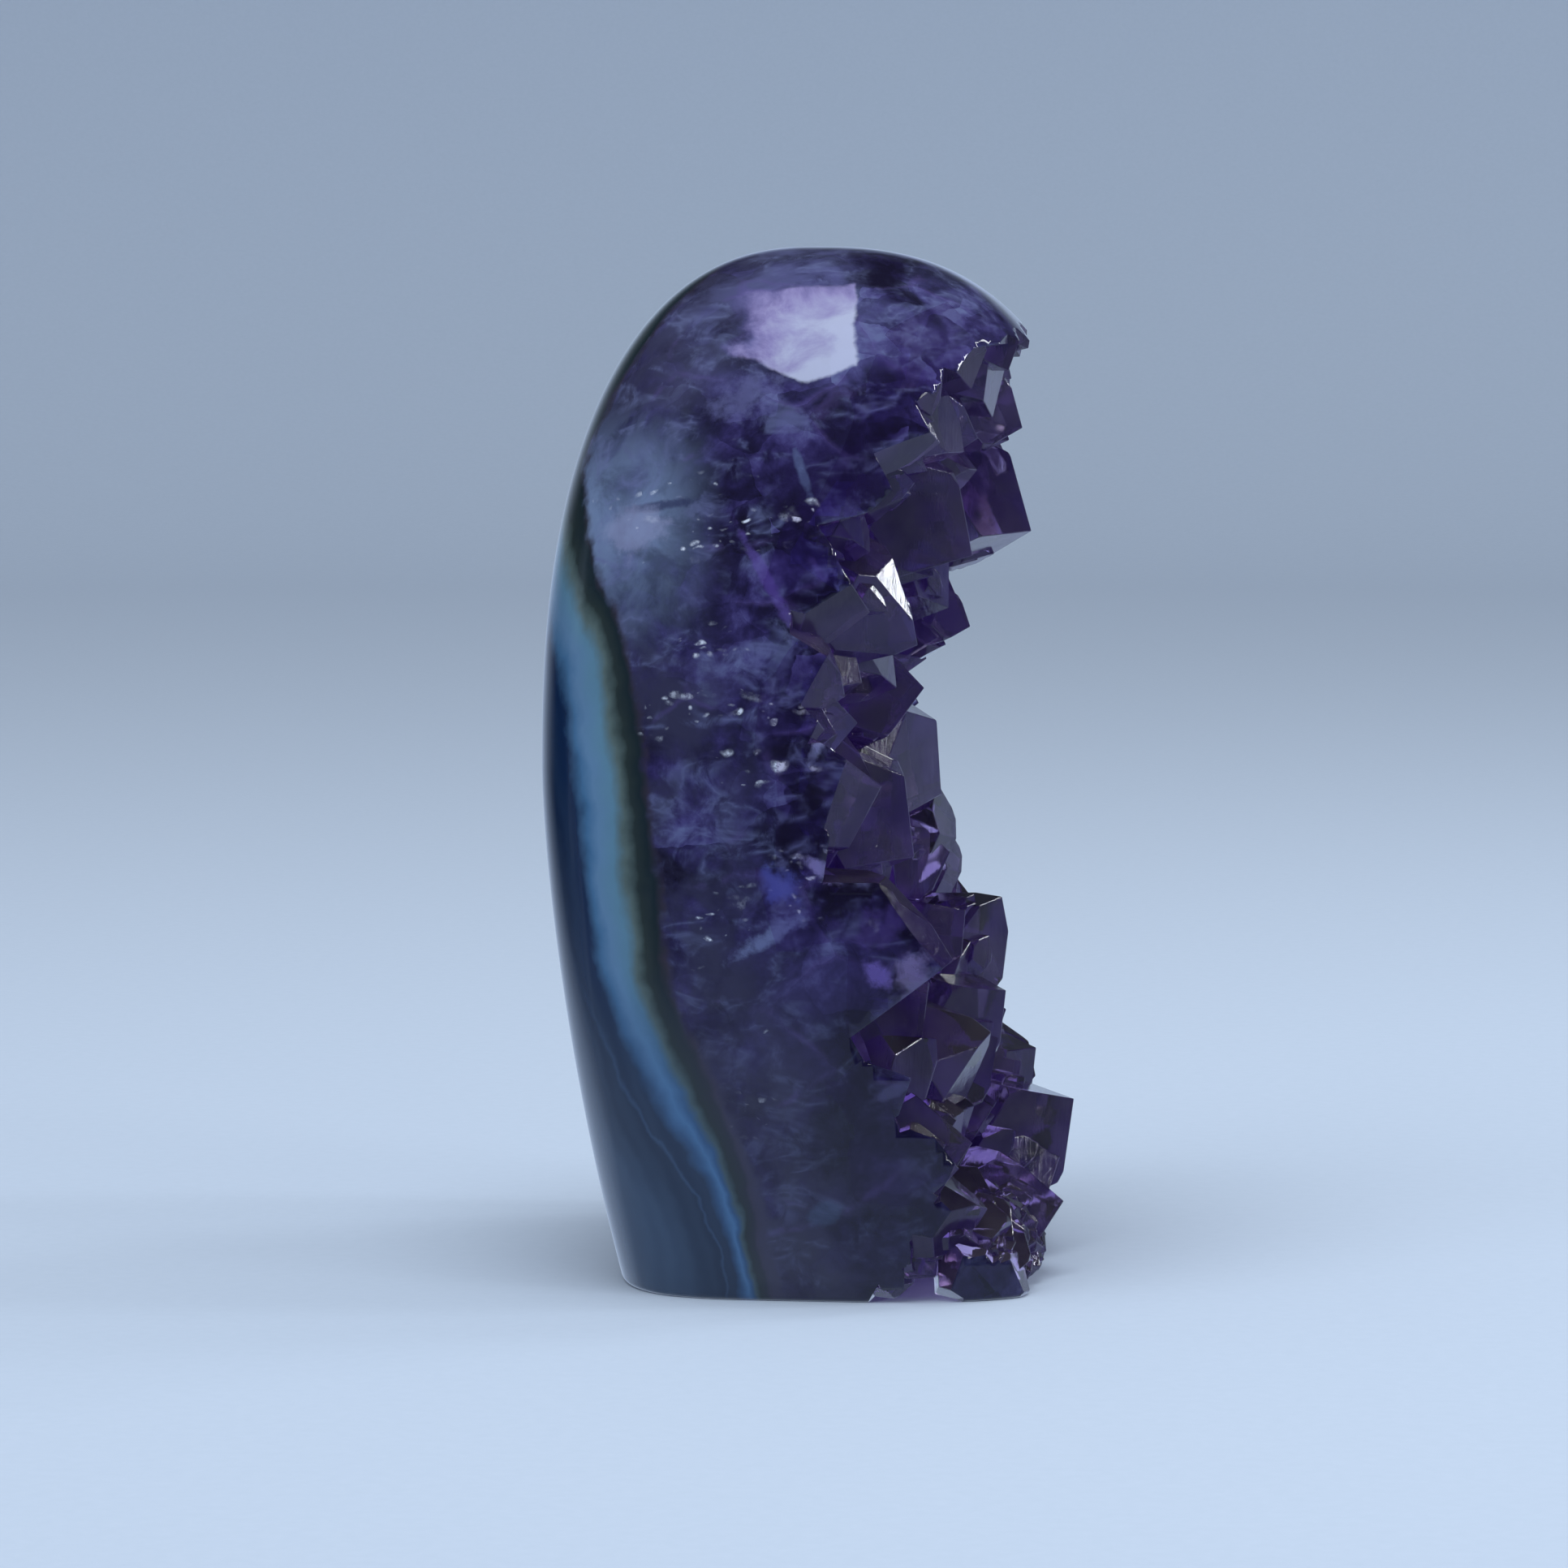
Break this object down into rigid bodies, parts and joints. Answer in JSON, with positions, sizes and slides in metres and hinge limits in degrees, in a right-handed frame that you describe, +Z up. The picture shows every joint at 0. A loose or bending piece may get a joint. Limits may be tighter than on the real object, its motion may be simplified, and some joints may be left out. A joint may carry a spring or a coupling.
{
  "type": "amethyst druzy point",
  "caption": "Free-standing amethyst geode piece: polished domed back and sides with a blue agate rind, an open face of pointed purple quartz crystals, and a sawn flat foot.",
  "frame": {"origin": "on the sawn foot, straight below the crown", "axes": "+Z up, from the foot to the crown; +X out of the druzy face, away from the agate rind; +Y across the stone"},
  "size_m": [0.0389, 0.048, 0.075],
  "materials": {
    "amethyst": "polished agate and milky quartz on the back and sides, natural clear purple quartz faces in front"
  },
  "bodies": {
    "root": {"amethyst_point": "amethyst"}
  },
  "joints": []
}
